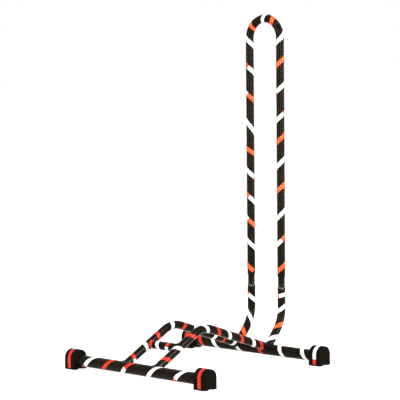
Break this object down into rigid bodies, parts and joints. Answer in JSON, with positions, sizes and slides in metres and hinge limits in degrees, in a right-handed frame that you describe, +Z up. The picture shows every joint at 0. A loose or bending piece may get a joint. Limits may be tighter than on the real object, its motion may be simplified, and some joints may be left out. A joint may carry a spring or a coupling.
{
  "type": "bicycle floor parking stand",
  "caption": "Free-standing bicycle parking stand: welded tube base with bent rails and a plug-in wheel hoop on snap buttons, with striped reflective tape.",
  "frame": {"origin": "on the floor, under the middle of the stand's box", "axes": "+X along the cross tubes to the right as seen from the front, +Y from the front cross tube to the hoop, +Z up"},
  "size_m": [0.37, 0.3972, 0.6873],
  "materials": {
    "black_paint": "gloss black enamel over steel",
    "foot_plastic": "matte moulded",
    "tape_red": "retroreflective prismatic film",
    "tape_white": "retroreflective prismatic film",
    "spring_steel": "bright spring steel",
    "button_steel": "plated steel"
  },
  "bodies": {
    "base": {"cross_tube_front": "black_paint", "cross_tube_rear": "black_paint", "rail_left": "black_paint", "rail_right": "black_paint", "rail_crossbar": "black_paint", "lower_leg_left": "black_paint", "lower_leg_right": "black_paint", "foot_front_left": "foot_plastic", "foot_front_right": "foot_plastic", "foot_rear_left": "foot_plastic", "foot_rear_right": "foot_plastic", "weld_beads_front": "black_paint", "weld_beads_rear": "black_paint", "weld_beads_legs": "black_paint", "weld_beads_crossbar": "black_paint", "leg_tape_red": "tape_red", "leg_tape_white": "tape_white", "rail_tape_red": "tape_red", "rail_tape_white": "tape_white", "cross_tube_tape_red": "tape_red", "cross_tube_tape_white": "tape_white", "foot_tape_red": "tape_red", "foot_tape_white": "tape_white"},
    "hoop": {"upper_hoop": "black_paint", "spring_clip_left": "spring_steel", "spring_clip_right": "spring_steel", "hoop_tape_red": "tape_red", "hoop_tape_white": "tape_white"},
    "button_left": {"snap_button_left": "button_steel"},
    "button_right": {"snap_button_right": "button_steel"}
  },
  "joints": [
    {"name": "hoop_lift", "type": "slide", "parent": "base", "child": "hoop", "axis": [0, 0, 1], "range_m": [0, 0.06]},
    {"name": "button_left_press", "type": "slide", "parent": "hoop", "child": "button_left", "axis": [-0.7071, 0.7071, 0], "range_m": [0, 0.0029], "stiffness_N_per_m": 1200, "springref_m": -0.002, "deforming": ["spring_clip_left"]},
    {"name": "button_right_press", "type": "slide", "parent": "hoop", "child": "button_right", "axis": [-0.7071, 0.7071, 0], "range_m": [0, 0.0029], "stiffness_N_per_m": 1200, "springref_m": -0.002, "deforming": ["spring_clip_right"]}
  ]
}
